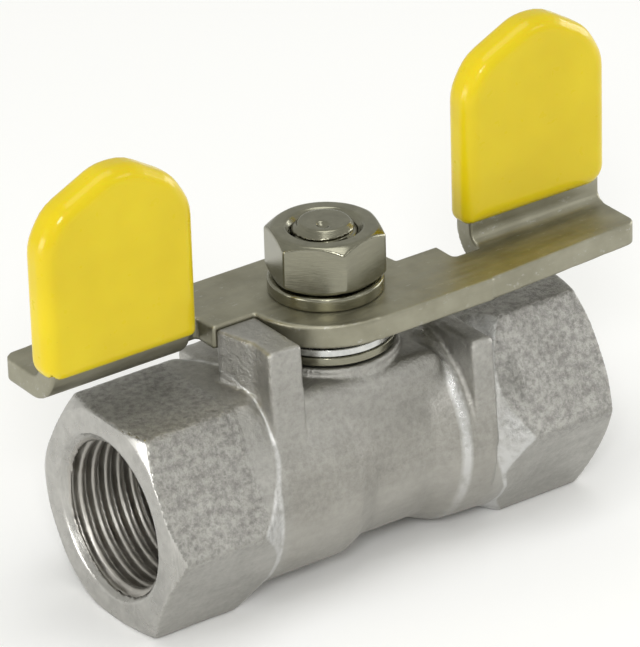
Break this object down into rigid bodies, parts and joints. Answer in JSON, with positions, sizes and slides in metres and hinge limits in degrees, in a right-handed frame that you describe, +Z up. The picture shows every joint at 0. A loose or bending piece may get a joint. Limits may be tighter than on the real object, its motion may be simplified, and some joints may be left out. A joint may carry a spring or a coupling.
{
  "type": "ball valve",
  "caption": "Female-threaded one-piece ball valve with hexagonal ends and a quarter-turn butterfly handle whose two upright wings are dipped in yellow vinyl.",
  "frame": {"origin": "on the bottom wrench flats, straight below the stem axis, half way along the body", "axes": "+X along the pipe from the inlet (retainer) end to the outlet end, +Z up along the stem"},
  "size_m": [0.0822, 0.0312, 0.0613],
  "materials": {
    "cast_stainless": "blasted stainless casting, satin grey with fine pitting",
    "machined_stainless": "turned stainless, semi-bright",
    "polished_stainless": "polished stainless ball",
    "sheet_stainless": "stamped sheet, satin",
    "spring_stainless": "bright spring steel",
    "yellow_vinyl": "thick glossy dipped vinyl",
    "ptfe": "waxy white PTFE",
    "seal_rubber": "black seal rubber"
  },
  "bodies": {
    "valve_body": {"body": "cast_stainless", "seat_retainer": "machined_stainless", "retainer_gasket": "ptfe", "inlet_seat": "ptfe", "outlet_seat": "ptfe", "thrust_washer": "ptfe", "lower_packing_ring": "ptfe", "upper_packing_ring": "ptfe", "gland_ring": "machined_stainless"},
    "handle": {"stem": "machined_stainless", "stem_o_ring": "seal_rubber", "lower_disc_spring": "spring_stainless", "upper_disc_spring": "spring_stainless", "handle_plate": "sheet_stainless", "left_grip_sleeve": "yellow_vinyl", "right_grip_sleeve": "yellow_vinyl", "lock_washer": "spring_stainless", "stem_nut": "machined_stainless"},
    "ball": {"ball": "polished_stainless"}
  },
  "joints": [
    {"name": "handle_turn", "type": "hinge", "parent": "valve_body", "child": "handle", "pos_m": [0, 0, 0.0135], "axis": [0, 0, -1], "range_deg": [0, 90]},
    {"name": "ball_turn", "type": "hinge", "parent": "valve_body", "child": "ball", "pos_m": [0, 0, 0.0135], "axis": [0, 0, -1], "range_deg": [0, 90]}
  ],
  "couplings": [
    {"joint": "ball_turn", "follows": "handle_turn", "ratio": 1}
  ]
}
